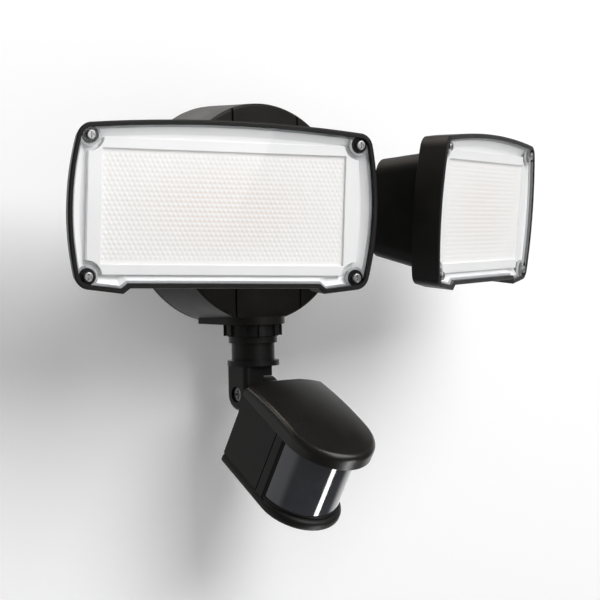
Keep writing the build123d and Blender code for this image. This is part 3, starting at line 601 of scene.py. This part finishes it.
def add_lamps(stage):
    """Add the square lamps, each aimed at the origin."""
    for name, place, size, watts in LAMPS:
        bpy.ops.object.light_add(type="AREA", location=place)
        lamp = bpy.context.object
        lamp.name = name
        lamp.data.shape = "SQUARE"
        lamp.data.size = size
        lamp.data.energy = getattr(stage, watts)
        lamp.rotation_euler = (-Vector(place)).to_track_quat("-Z", "Y").to_euler()


def add_cards():
    """Add the glowing cards, each facing the light and seen only in reflections."""
    for name, centre, edge, size, strength, colour, fade in CARDS:
        facing = (CARD_TARGET - Vector(centre)).normalized()
        across = Vector(edge).cross(facing).normalized()
        deselect()
        bpy.ops.mesh.primitive_plane_add(size=1)
        card = bpy.context.object
        card.name = name
        card.scale = (*size, 1)
        settle(card, (across, facing.cross(across), facing), centre)
        card.data.materials.append(card_light(name + "_light", colour, strength, fade))
        card.visible_camera = False
        card.visible_diffuse = False
        card.visible_transmission = False
        card.visible_shadow = False


def add_room(scene, sky):
    """Add the even light of the room, white where it is seen and uneven in reflections."""
    world = bpy.data.worlds.new("studio_room")
    world.use_nodes = True
    tree = world.node_tree
    tree.nodes.clear()
    ray = add_node(tree, "ShaderNodeLightPath").outputs
    direction = add_node(tree, "ShaderNodeTexCoord").outputs["Generated"]
    parts = add_node(tree, "ShaderNodeSeparateXYZ", direction).outputs
    horizon = 1.0
    for axis, *fade in ROOM_FADES:
        part = add_node(tree, "ShaderNodeMapRange", parts[axis], *fade)
        horizon = add_node(tree, "ShaderNodeMath", horizon, part, operation="MULTIPLY")
    horizon = add_node(tree, "ShaderNodeMath", horizon, ROOM_LEAST, operation="ADD")
    glossy = ray["Is Glossy Ray"]
    shine = add_node(tree, "ShaderNodeMath", glossy, horizon, operation="MULTIPLY")
    plain = add_node(tree, "ShaderNodeMath", 1.0, glossy, operation="SUBTRACT")
    room = add_node(tree, "ShaderNodeMath", plain, sky, operation="MULTIPLY")
    room = add_node(tree, "ShaderNodeMath", room, shine, operation="ADD")
    strength = room
    for kind in ("Is Camera Ray", "Is Transmission Ray"):
        strength = add_node(tree, "ShaderNodeMath", strength, ray[kind], operation="MAXIMUM")
    background = add_node(tree, "ShaderNodeBackground", linear("#ffffff"), strength)
    add_node(tree, "ShaderNodeOutputWorld", background)
    scene.world = world


def add_camera(scene, lens):
    """Add the camera at the photograph's viewing angle."""
    bpy.ops.object.camera_add(location=CAMERA_PLACE)
    camera = bpy.context.object
    camera.name = "front_camera"
    camera.rotation_euler = [math.radians(angle) for angle in CAMERA_TURN_DEGREES]
    camera.data.lens = lens
    camera.data.sensor_width = CAMERA_SENSOR_MM
    camera.data.clip_start = CAMERA_CLIP
    scene.camera = camera


class SECURITY_LIGHT_OT_stage(bpy.types.Operator):
    """Set up the wall, the lamps, the room light and the camera"""

    bl_idname = "security_light.stage"
    bl_label = "Studio"

    def execute(self, context):
        stage = context.scene.security_light_stage
        add_wall()
        add_lamps(stage)
        add_cards()
        add_room(context.scene, stage.sky)
        add_camera(context.scene, stage.lens)
        context.scene.view_settings.view_transform = "Standard"
        return {"FINISHED"}


class SECURITY_LIGHT_PT_tools(bpy.types.Panel):
    """Security light tools"""

    bl_idname = "SECURITY_LIGHT_PT_tools"
    bl_label = "Security light"
    bl_space_type = "VIEW_3D"
    bl_region_type = "UI"
    bl_category = "Security light"

    def draw(self, context):
        for group in GROUPS:
            settings = getattr(context.scene, group)
            for name in settings.bl_rna.properties.keys():
                if name not in {"rna_type", "name"}:
                    self.layout.prop(settings, name)
        for operator in OPERATORS:
            self.layout.operator(operator.bl_idname)


OPERATORS = (
    SECURITY_LIGHT_OT_canopy,
    SECURITY_LIGHT_OT_heads,
    SECURITY_LIGHT_OT_panels,
    SECURITY_LIGHT_OT_sensor,
    SECURITY_LIGHT_OT_stage,
)
GROUPS = {
    "security_light_sizes": SecurityLightSizes,
    "security_light_colours": SecurityLightColours,
    "security_light_stage": SecurityLightStage,
}
CLASSES = (*GROUPS.values(), *OPERATORS, SECURITY_LIGHT_PT_tools)


def register():
    """Register the classes and the settings kept on the scene."""
    for kind in CLASSES:
        bpy.utils.register_class(kind)
    for name, group in GROUPS.items():
        setattr(bpy.types.Scene, name, bpy.props.PointerProperty(type=group))


def unregister():
    """Remove the settings and the classes."""
    for name in GROUPS:
        delattr(bpy.types.Scene, name)
    for kind in reversed(CLASSES):
        bpy.utils.unregister_class(kind)


def main():
    """Build the light from its operators, in order."""
    register()
    bpy.ops.security_light.canopy()
    bpy.ops.security_light.heads()
    bpy.ops.security_light.panels()
    bpy.ops.security_light.sensor()
    bpy.ops.security_light.stage()


if __name__ == "__main__":
    main()
